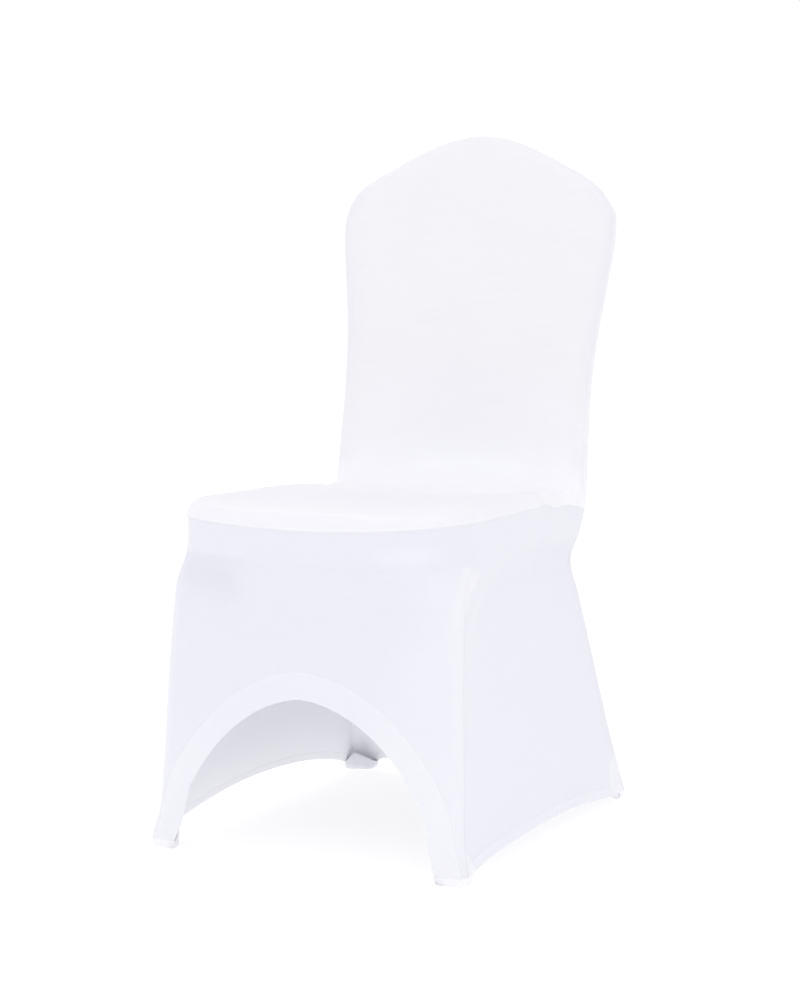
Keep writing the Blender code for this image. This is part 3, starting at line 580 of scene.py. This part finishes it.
NARROW_HEM = 0.012  # width of the turned hem of the side and rear arches
LEG_HEIGHT = 0.300  # where the skirts have fully turned onto the legs
SKIRT_PAINTED_SHADE = 0.60  # painted shade on the skirts, where they turn down and away from the light below the seat's edge
BACK_PAINTED_SHADE = 0.12  # painted shade on the outside of the back
BACK_SHADE_FROM = 0.420  # height below which it passes over into its skirt
BACK_SHADE_REACH = 0.09


def outside_back(cut, base, up):
    """Points of the outside of the back, above the seat."""
    x, z, rim = back_place(cut, base, up)
    bow = smooth(REAR_LEG, "bow", z) * bulge(cut["share"])
    y = smooth(BACK_LEAN, "seam", z) + rim * (smooth(BACK_LEAN, "outside", z) + bow)
    return np.stack([x, y, z], axis=-1)


def skirt_rear(cut, level):
    """Points of the outside back from the seat down."""
    level = level + 0 * cut["share"]
    half_width = by_side(REAR_LEG, cut, level)
    y = smooth(REAR_LEG, "seam", level) + smooth(REAR_LEG, "outside", level) * np.sin(cut["turn"])
    y = y + smooth(REAR_LEG, "bow", level) * bulge(cut["share"])
    return np.stack([across_back(cut, half_width), y, level], axis=-1)


BOXING_ROWS = np.array([0, 0.012, 0.035, 0.065, 0.10, 0.16, 0.25, 0.36, 0.48, 0.60, 0.72, 0.82, 0.91, 1.0])
TURN_ROWS = 24
SKIRT_STEPS = 36
SKIRT_DENSITY = 1.35  # how much closer the rows lie towards the hem
SKIRT_ROWS = 1 - (1 - np.arange(1, SKIRT_STEPS + 1) / SKIRT_STEPS) ** SKIRT_DENSITY


def skirt_levels(bottom):
    """Nominal heights of the skirts' rows, from the seat seam down to the hem, for each column."""
    boxing = SEAM_HEIGHT + (SEAT_EDGE_HEIGHT - SEAM_HEIGHT) * BOXING_ROWS[:, None] + 0 * bottom
    turn = np.linspace(SEAT_EDGE_HEIGHT, LEG_HEIGHT, TURN_ROWS + 1)[1:, None] + 0 * bottom
    return np.vstack([boxing, turn, LEG_HEIGHT + (bottom - LEG_HEIGHT) * SKIRT_ROWS[:, None]])


rear_cut = cut_columns(REAR_ARCH, lambda side, z: smooth(REAR_LEG, side_name(side), z) - BACK_ROUND)
side_heights = seat_back[:, 0, 2]
hollow_end = joint_row + HOLLOW_STEPS - HOLLOW_STEPS // 2
base, top, joint = side_heights[hollow_end], side_heights[-1], side_heights[joint_row]
squeeze = (joint - SEAT_EDGE_HEIGHT) / (SEAM_HEIGHT - SEAT_EDGE_HEIGHT)
rear_levels = skirt_levels(rear_cut["hem"])
back_shares = (side_heights[:hollow_end - 1:-1] - base) / (top - base)
hollow_levels = side_heights[hollow_end - 1:joint_row - 1:-1]
boxing_levels = joint + (rear_levels[1:len(BOXING_ROWS) - 1] - SEAM_HEIGHT) * squeeze
rear_back = np.stack([outside_back(rear_cut, base, share) for share in back_shares]
                     + [skirt_rear(rear_cut, level) for level in hollow_levels]
                     + [skirt_rear(rear_cut, level) for level in boxing_levels]
                     + [skirt_rear(rear_cut, level) for level in rear_levels[len(BOXING_ROWS) - 1:]])
for row in range(len(side_heights) - joint_row):
    rear_back[row, 0] = seat_back[-1 - row, 0]
    rear_back[row, -1] = seat_back[-1 - row, -1]
rear_back[0] = seat_back[-1]
arch_columns = slice(CORNER_STEPS + 1, -CORNER_STEPS - 1)
# The outside back gets painted shade, deeper on its skirt below the seat
below_seat = ease((BACK_SHADE_FROM - rear_back[..., 2]) / BACK_SHADE_REACH)
back_cloth = sew_panel("outside_back_cloth", rear_back, True,
                       [rear_back[0], rear_back[:, 0], rear_back[:, -1], rear_back[-1, :CORNER_STEPS + 2],
                        rear_back[-1, -CORNER_STEPS - 2:]],
                       hem=rear_back[-1, arch_columns], hem_width=NARROW_HEM, ridge=0.6,
                       painted_light_and_shade=BACK_PAINTED_SHADE + (SKIRT_PAINTED_SHADE - BACK_PAINTED_SHADE) * below_seat,
                       seam_tone=0.3, stitch_tone=0.2, welts=WELTS[1:])
finish_panel(back_cloth, "outside_back")

# Front skirt
# The front panel hangs from the seat seam, turns in under the seat's edge and is drawn down over both front
# legs. Between them it is cut to a high arch with a wide turned hem.
SEAT_CREASE = table("x y z", [
    (-0.201, -0.200, 0.384), (-0.178, -0.256, 0.3855), (-0.141, -0.2715, 0.385), (-0.070, -0.2755, 0.3815),
    (0.020, -0.278, 0.379), (0.105, -0.274, 0.380), (0.172, -0.260, 0.3825), (0.201, -0.200, 0.380)])
FRONT_HEM = 0.033  # width of the turned hem of the front arch
SEAT_SEAM_TONE = 0.45
BOXING_PAINTED_SHADE = 0.57  # painted shade over the edge of the seat, a little less than on the skirts below it
STRIP_PAINTED_SHADE = 0.31  # less painted shade down the rounded corners over the front legs: a painted highlight
CORNER_TONE = -0.25  # the corner seams lie flat and show as fine shaded lines, but not on the seat's edge
CORNER_TOP = 0.345
FOOT_TONE = 0.10
SKIRT_RIDGE = 0.35
CREASE_SOFT = 0.006  # width over which the painted shade changes at the crease under the seat
# Width, by height, of the painted highlight down the corner over each front leg
LEG_STRIP = table("height width", [
    (0.012, 0.024), (0.120, 0.018), (0.240, 0.018), (0.335, 0.022), (0.372, 0.014)])
front_crease = np.stack([SEAT_CREASE["x"], SEAT_CREASE["y"], SEAT_CREASE["z"]], axis=-1)
FRONT_FOLDS = [
    (front_crease[1:-1] - (0, 0, 0.0065), 0.0065, -0.0020),
    (front_crease[1:-1] - (0, 0, 0.022), 0.0180, -0.0018),
    (front_crease[1:-1] + (0, 0, 0.006), 0.0050, 0.0006),
    ([(-0.165, -0.268, 0.362), (-0.145, -0.272, 0.352)], 0.0240, -0.0030),
    ([(0.115, -0.273, 0.393), (0.147, -0.269, 0.397), (0.172, -0.2595, 0.391)], 0.0070, 0.0010),
]


def behind_line(places, line, edge, width):
    """Rises softly from 0 above a line to 1 below it. edge gives the place along it."""
    away = distance_to(places, line)
    height = np.interp(places[..., edge], line[:, edge], line[:, 2])
    return ease(0.5 + np.where(places[..., 2] < height, away, -away) / width)


front_skirt = np.stack([skirt_front(front_cut, level) for level in skirt_levels(front_cut["hem"])])
front_x, front_z = front_skirt[..., 0], front_skirt[..., 2]
from_corner = np.minimum(*[distance_to(front_skirt, front_skirt[:, column]) for column in (0, -1)])
over_leg = 1 - ease(0.5 + (from_corner - smooth(LEG_STRIP, "width", front_z)) / 0.012)
# It gets less painted shade, so it is painted lighter, towards the right leg and low down
painted_light_right = 0.30 * ease((front_x - 0.06 - 0.40 * (front_z - 0.20)) / 0.10)
painted_light_low = 0.25 * ease((0.20 - front_z) / 0.10)
# A painted shadow lies under the left end of the seat, and a painted highlight on the edge at the right
painted_shadow_under_seat = 0.36 * near(front_skirt, [(-0.172, -0.262, 0.368), (-0.120, -0.272, 0.352)], 0.030)
painted_highlight_right = 0.20 * near(front_skirt, [(0.112, -0.274, 0.392), (0.160, -0.266, 0.394)], 0.010)
# Painted shade of the front skirt: deeper below the crease under the seat, lighter on the boxing and over the
# legs
panel_painted_shade = SKIRT_PAINTED_SHADE * (1 - painted_light_right) * (1 - painted_light_low)
below_crease = (panel_painted_shade - BOXING_PAINTED_SHADE) * (1 - over_leg) - (BOXING_PAINTED_SHADE - STRIP_PAINTED_SHADE) * over_leg + painted_shadow_under_seat
front_painted_shading = BOXING_PAINTED_SHADE - painted_highlight_right + behind_line(front_skirt, front_crease, 0, CREASE_SOFT) * below_crease


def seam_looks(places, to_corner, to_foot):
    """How a skirt's seams look and how high their ridges are, from the distances to the seams at its corners
    and feet."""
    to_seat = distance_to(places, places[0])
    below = ease((CORNER_TOP - places[..., 2]) / 0.03)
    tone = np.where(to_corner < to_seat, CORNER_TONE * below, SEAT_SEAM_TONE)
    ridge = SKIRT_RIDGE * np.where(to_corner < to_seat, below, 1)
    return np.where(to_foot < to_corner, FOOT_TONE, tone), ridge


foot_seams = front_skirt[-1, :CORNER_STEPS + 2], front_skirt[-1, -CORNER_STEPS - 2:]
to_foot = np.minimum(distance_to(front_skirt, foot_seams[0]), distance_to(front_skirt, foot_seams[1]))
front_tone, front_ridge = seam_looks(front_skirt, from_corner, to_foot)
# The hem's stitch line is painted pale, with a painted highlight that is strongest at the right of the
# arch and weakest on the left leg and by the feet
front_stitches = (0.10 + 0.30 * ease((front_x + 0.20) / 0.22)) * (0.5 + 0.5 * ease((front_z - 0.05) / 0.10))
front_cloth = sew_panel("front_skirt_cloth", front_skirt, False,
                        [front_skirt[0], front_skirt[:, 0], front_skirt[:, -1], *foot_seams],
                        hem=front_skirt[-1, arch_columns], hem_width=FRONT_HEM, ridge=front_ridge,
                        folds=FRONT_FOLDS, painted_light_and_shade=front_painted_shading, seam_tone=front_tone, stitch_tone=front_stitches,
                        welts=WELTS[:1])
finish_panel(front_cloth, "front_skirt")

# Side skirts
# One panel at each side, between the corner seams of the front and rear legs. It turns in under the seat
# along a curved crease, bows in between the legs and ends in a low arch with a narrow hem.
SIDE_ARCH_TOP = {-1: 0.045, 1: 0.027}  # left and right
ARCH_FADE = 0.8  # how squarely the side arches meet the feet; lower is squarer
REAR_FADE = {-1: 0.1, 1: 1.2}  # and how much more gently they run out at the rear foot
LIFT_FADE = 1.5  # how soon the rows straighten out above the arch; higher is sooner
FOOT_SIDE_LENGTH = 0.014  # of the flat side of a foot, from its corner seam to the side arch
SIDE_BOW = table("height bow", [
    (0.012, 0.000), (0.060, 0.007), (0.200, 0.014), (0.320, 0.013), (0.350, 0.011), (0.366, 0.006),
    (0.380, 0.000), (0.425, 0.000)])
CREASE_DROP = 0.075  # how much lower the crease lies at the front leg
CREASE_END = 0.45  # share of the way to the rear leg at which it has reached its full height
REAR_DIP = {-1: 0.0, 1: 0.008}  # how far the hem dips beside the rear foot before it rises to the arch
DIP_SHARE = 0.085  # of the width from foot to foot that the dip takes up
DIP_DEPTH = 12  # how closely the dip keeps to the hem; higher is closer
FOOT_STEPS = 8


def side_skirt(side):
    """Rows of a side skirt, from the seat seam to the hem, between its front and rear seams."""
    column = 0 if side < 0 else -1
    top_line = seat_back[:joint_row + 1, column]
    front_line = front_skirt[:, column]
    rear_line = rear_back[-len(front_line):, column]
    reach = (top_line[:, 1] - top_line[0, 1]) / (top_line[-1, 1] - top_line[0, 1])
    foot = FOOT_SIDE_LENGTH / (rear_line[-1, 1] - front_line[-1, 1])
    dense = (np.arange(FOOT_STEPS) / FOOT_STEPS) ** 1.3 * foot
    between = np.linspace(foot, 1 - foot, len(top_line) - 2 * FOOT_STEPS)
    bottom = np.concatenate([dense, between, 1 - dense[::-1]])
    straight = top_line[0] + (top_line[-1] - top_line[0]) * reach[:, None]
    rows = [top_line]
    for index in range(1, len(front_line)):
        drop = index / (len(front_line) - 1)
        share = reach + (bottom - reach) * drop
        row = front_line[index] + (rear_line[index] - front_line[index]) * share[:, None]
        arch = np.maximum(1 - ((bottom - 0.5) / (0.5 - foot)) ** 2, 0)
        arch = arch ** (ARCH_FADE + REAR_FADE[side] * ease(2 * bottom - 1))
        lifted = drop ** LIFT_FADE * arch * (SIDE_ARCH_TOP[side] - FOOT_SEAM)
        beside = np.clip((1 - foot - bottom) / DIP_SHARE, 0, 1)
        # beside (1 - beside)^3 rises steeply to 27/256 at a quarter of the dip and runs out gently
        lifted = lifted - drop ** DIP_DEPTH * REAR_DIP[side] * beside * (1 - beside) ** 3 * 256 / 27
        sway = ease((row[:, 2] - SWAY_END) / (SEAT_EDGE_HEIGHT - SWAY_END))
        row[:, 2] += lifted + (top_line[:, 2] - straight[:, 2]) * sway
        above = max(1 - index / (len(BOXING_ROWS) - 1), 0)
        row[:, 0] += (top_line[:, 0] - straight[:, 0]) * above
        fall = CREASE_DROP * np.maximum(1 - share / CREASE_END, 0) ** 2
        row[:, 0] -= side * smooth(SIDE_BOW, "bow", row[:, 2] + fall) * (1 - (2 * share - 1) ** 4)
        row[0], row[-1] = front_line[index], rear_line[index]
        rows.append(row)
    return np.stack(rows)


SIDE_CREASE = table("x y z", [
    (0.2260, -0.276, 0.000), (0.2155, -0.262, 0.100), (0.2100, -0.252, 0.240), (0.2068, -0.240, 0.319),
    (0.2049, -0.222, 0.3425), (0.2023, -0.196, 0.3605), (0.1998, -0.150, 0.374), (0.1953, -0.072, 0.3815),
    (0.1916, 0.004, 0.382), (0.1903, 0.044, 0.3795), (0.1851, 0.144, 0.3685), (0.1820, 0.175, 0.366)])
# Edge of the patch that is sewn inside each rear foot, by the distance from the corner seam and the height.
# The front feet have smaller ones.
FOOT_PATCH = table("away height", [(0.000, 0.062), (0.019, 0.055), (0.040, 0.022), (0.013, 0.008)])


def patch_distance(places, seam, size):
    """Distance outwards from the edge of the patch at a corner seam."""
    away = np.abs(np.interp(places[..., 2], seam[::-1, 2], seam[::-1, 1]) - places[..., 1]) / size
    spots = np.stack([FOOT_PATCH["away"], FOOT_PATCH["height"]], axis=1)
    outside = []
    for start, end in zip(spots, spots[1:]):
        along = (end - start) / np.linalg.norm(end - start)
        outside.append((away - start[0]) * -along[1] + (places[..., 2] / size - start[1]) * along[0])
    return np.max(outside, axis=0) * size


side_grids = {}
for side in (-1, 1):
    grid = side_grids[side] = side_skirt(side)
    name = "side_skirt_" + side_name(side)
    crease = np.stack([side * SIDE_CREASE["x"], SIDE_CREASE["y"], SIDE_CREASE["z"]], axis=-1)
    creases = [(crease[4:] + (0, 0.004, -0.006), 0.0065, -0.0008),
               (crease[5:] + (0, 0.012, -0.020), 0.0180, -0.0016)]
    foot_seams = grid[-1, :FOOT_STEPS + 1], grid[-1, -FOOT_STEPS - 1:]
    to_foot = np.minimum(distance_to(grid, foot_seams[0]), distance_to(grid, foot_seams[1]))
    from_corner = distance_to(grid, grid[:, 0])
    tone, ridge = seam_looks(grid, from_corner, to_foot)
    # Painted shade: deeper below the curved crease than over the boxing, and lighter again in a painted
    # highlight by the front leg
    behind = behind_line(grid, crease, 1, CREASE_SOFT)
    by_leg = (1 - behind) * ease((0.376 - grid[..., 2]) / 0.008) * ease((0.030 - from_corner) / 0.01)
    side_painted_shading = BOXING_PAINTED_SHADE + (SKIRT_PAINTED_SHADE - BOXING_PAINTED_SHADE) * behind - (BOXING_PAINTED_SHADE - STRIP_PAINTED_SHADE) * by_leg
    patches = np.minimum(patch_distance(grid, grid[:, -1], 1.0), patch_distance(grid, grid[:, 0], 0.6))
    side_cloth = sew_panel(name + "_panel", grid, side < 0, [grid[0], grid[:, 0], grid[:, -1], *foot_seams],
                           hem=grid[-1, FOOT_STEPS:-FOOT_STEPS], hem_width=NARROW_HEM, ridge=ridge,
                           folds=creases, painted_light_and_shade=side_painted_shading, seam_tone=tone, stitch_tone=0.12, patch=patches,
                           welts=WELTS)
    finish_panel(side_cloth, name)

# Foot pockets
# A small cup of doubled knit is sewn to the lower edge of the skirts round each leg. It goes under the foot
# and holds the cover down; its sole is pressed flat on the floor.
POCKET_END = 0.015  # length of the two end walls
POCKET_LOW = 0.25  # share of an end wall that stays as low as the seam
POCKET_RISE = 0.018  # how far the side towards the middle of the seat reaches up the leg
# Shares of that rise, round the inner wall
POCKET_LIFT = {"front": np.array([-0.1, 0.75, 1.0, 0.75, -0.1]),
               "rear": np.array([0.1, 0.9, 0.5, 0.1, -0.1])}
POCKET_BULGE = 0.12
POCKET_PAINTED_LIGHT = -0.6  # painted light: a pocket, which sits in shade under the skirts, is painted whiter than them
SOLE_ROUND = 0.007
SOLE_ANGLES = np.radians((18, 36, 54, 72, 90))


def foot_pocket(outer, end):
    """Rings of a pocket from its top edge down to its sole. outer runs along the seam with the skirts."""
    first, last, middle = outer[0], outer[-1], outer.mean(axis=0)
    ends = []
    for before, corner in ((outer[-2], last), (outer[1], first)):
        along = (corner - before) * (1, 1, 0)
        along /= np.linalg.norm(along)
        square = np.array([-along[1], along[0], 0])
        ends.append(corner + square * math.copysign(POCKET_END, square @ (middle - corner)))
    halfway = (ends[0] + ends[1]) / 2
    inner = np.array([last + (ends[0] - last) * POCKET_LOW, ends[0],
                      halfway + (middle - halfway) * POCKET_BULGE, ends[1],
                      first + (ends[1] - first) * POCKET_LOW])
    inner[:, 2] += POCKET_RISE * POCKET_LIFT[end]
    inner = np.vstack([last, inner, first])
    for _ in range(2):
        # Each pass cuts the corners of the edge at a quarter of its stretches
        cuts = np.stack([0.75 * inner[:-1] + 0.25 * inner[1:], 0.25 * inner[:-1] + 0.75 * inner[1:]], axis=1)
        inner = np.vstack([inner[:1], cuts.reshape(-1, 3), inner[-1:]])
    top_ring = np.vstack([outer, inner[1:-1]])
    rings = [top_ring]
    for share in (0.25, 0.6, 1.0):
        ring = top_ring.copy()
        ring[:, 2] += (SOLE_ROUND - ring[:, 2]) * share
        rings.append(ring)
    wall = rings[-1]
    centre = wall.mean(axis=0)
    inward = (centre - wall) * (1, 1, 0)
    length = np.linalg.norm(inward, axis=1, keepdims=True)
    for angle in SOLE_ANGLES:
        ring = wall + inward / length * SOLE_ROUND * (1 - math.cos(angle))
        ring[:, 2] = SOLE_ROUND * (1 - math.sin(angle))
        rings.append(ring)
    sole = rings[-1]
    for share in (0.35, 0.7):
        ring = sole + (centre - sole) * share
        ring[:, 2] = 0
        rings.append(ring)
    return np.stack(rings)


corner = CORNER_STEPS + 1
for end, skirt in (("front", front_skirt), ("rear", rear_back)):
    for side in (-1, 1):
        foot = side_grids[side][-1]
        sole_side = foot[1:FOOT_STEPS + 1] if end == "front" else foot[-2:-FOOT_STEPS - 2:-1]
        leg = skirt[-1, corner::-1] if side < 0 else skirt[-1, -corner - 1:]
        rings = foot_pocket(np.vstack([leg, sole_side]), end)
        name = f"foot_pocket_{end}_{side_name(side)}"
        seam = rings[0, :len(leg) + FOOT_STEPS]
        pocket = sew_panel(name + "_cup", rings, (end == "front") == (side < 0), [seam], ridge=0.6,
                           ring=True, hem=rings[0, len(seam) - 1:], hem_width=0.0, painted_light_and_shade=POCKET_PAINTED_LIGHT,
                           seam_tone=0.0)
        finish_panel(pocket, name)

# Floor
# A wide table of opal sheet, lit softly from below, as for photographs without shadows. It is plain and
# white.
FLOOR_HALF = 30.0
FLOOR_DROP = 0.0006  # keeps it clear of the flat soles
floor_mesh = bpy.data.meshes.new("lit_table")
floor_corners = [(x * FLOOR_HALF, y * FLOOR_HALF, -FLOOR_DROP)
                 for x, y in ((-1, -1), (1, -1), (1, 1), (-1, 1))]
floor_mesh.from_pydata(floor_corners, [], [(0, 1, 2, 3)])
floor = bpy.data.objects.new("lit_table", floor_mesh)
bpy.context.scene.collection.objects.link(floor)
opal = bpy.data.materials.new("lit_opal_sheet")
opal.use_nodes = True
opal_shader = opal.node_tree.nodes["Principled BSDF"]
grain = add_node(opal, "TexNoise", {"Scale": 3.0, "Detail": 2.0})
milk = add_node(opal, "Mix", {"Factor": grain, 6: "#acacac", 7: "#b0b0b0"}, 2, data_type="RGBA")
opal.node_tree.links.new(milk, opal_shader.inputs["Base Color"])
opal_shader.inputs["Roughness"].default_value = 0.9
opal_shader.inputs["Specular IOR Level"].default_value = 0.0
opal_shader.inputs["Emission Color"].default_value = (1.0, 1.0, 1.0, 1.0)
opal_shader.inputs["Emission Strength"].default_value = 0.70
floor.data.materials.append(opal)

# Light
# A white room that lights the cloth evenly from all round, with one large soft lamp high in front of the
# seat.
room = bpy.data.worlds.new("white_studio")
bpy.context.scene.world = room
room.use_nodes = True
room.node_tree.nodes["Background"].inputs["Color"].default_value = (0.98, 0.98, 0.99, 1.0)
room.node_tree.nodes["Background"].inputs["Strength"].default_value = 1.078
lamp_data = bpy.data.lights.new("soft_lamp", "AREA")
lamp_data.shape = "DISK"
lamp_data.size = 2.0
lamp_data.energy = 14.0
lamp_data.color = (1.0, 0.99, 0.97)
lamp = bpy.data.objects.new("soft_lamp", lamp_data)
lamp.location = (1.2, -2.9, 2.9)
lamp.rotation_euler = (math.radians(52), 0.0, math.radians(22))
bpy.context.scene.collection.objects.link(lamp)
bpy.context.scene.view_settings.view_transform = "Standard"

# Camera
# A long lens a little above the seat and to the right of its front, as in the photograph. It looks down by
# about 3 degrees.
AZIMUTH, ELEVATION = math.radians(27.5811), math.radians(3.2347)
DISTANCE, FOCAL_PIXELS, IMAGE_WIDTH = 2.73136, 2039.46, 800
AIM_ACROSS, AIM_HEIGHT, STAND_BACK = -0.010562, 0.507842, -0.032
SHIFT_RIGHT, SHIFT_DOWN = 15.824, -47.038  # of the picture, in pixels
back_way = np.array([math.sin(AZIMUTH) * math.cos(ELEVATION), -math.cos(AZIMUTH) * math.cos(ELEVATION),
                     math.sin(ELEVATION)])
right_way = np.array([math.cos(AZIMUTH), math.sin(AZIMUTH), 0.0])
up_way = np.cross(back_way, right_way)
eye = np.array([0, STAND_BACK, AIM_HEIGHT]) + right_way * AIM_ACROSS + back_way * DISTANCE
lens = bpy.data.cameras.new("long_lens")
lens.sensor_width = 36.0
lens.sensor_fit = "HORIZONTAL"
lens.lens = FOCAL_PIXELS * lens.sensor_width / IMAGE_WIDTH
lens.shift_x = SHIFT_RIGHT / IMAGE_WIDTH
lens.shift_y = SHIFT_DOWN / IMAGE_WIDTH
camera = bpy.data.objects.new("camera", lens)
turned = np.eye(4)
turned[:3, 0], turned[:3, 1], turned[:3, 2], turned[:3, 3] = right_way, up_way, back_way, eye
camera.matrix_world = mathutils.Matrix(turned.tolist())
bpy.context.scene.collection.objects.link(camera)
bpy.context.scene.camera = camera
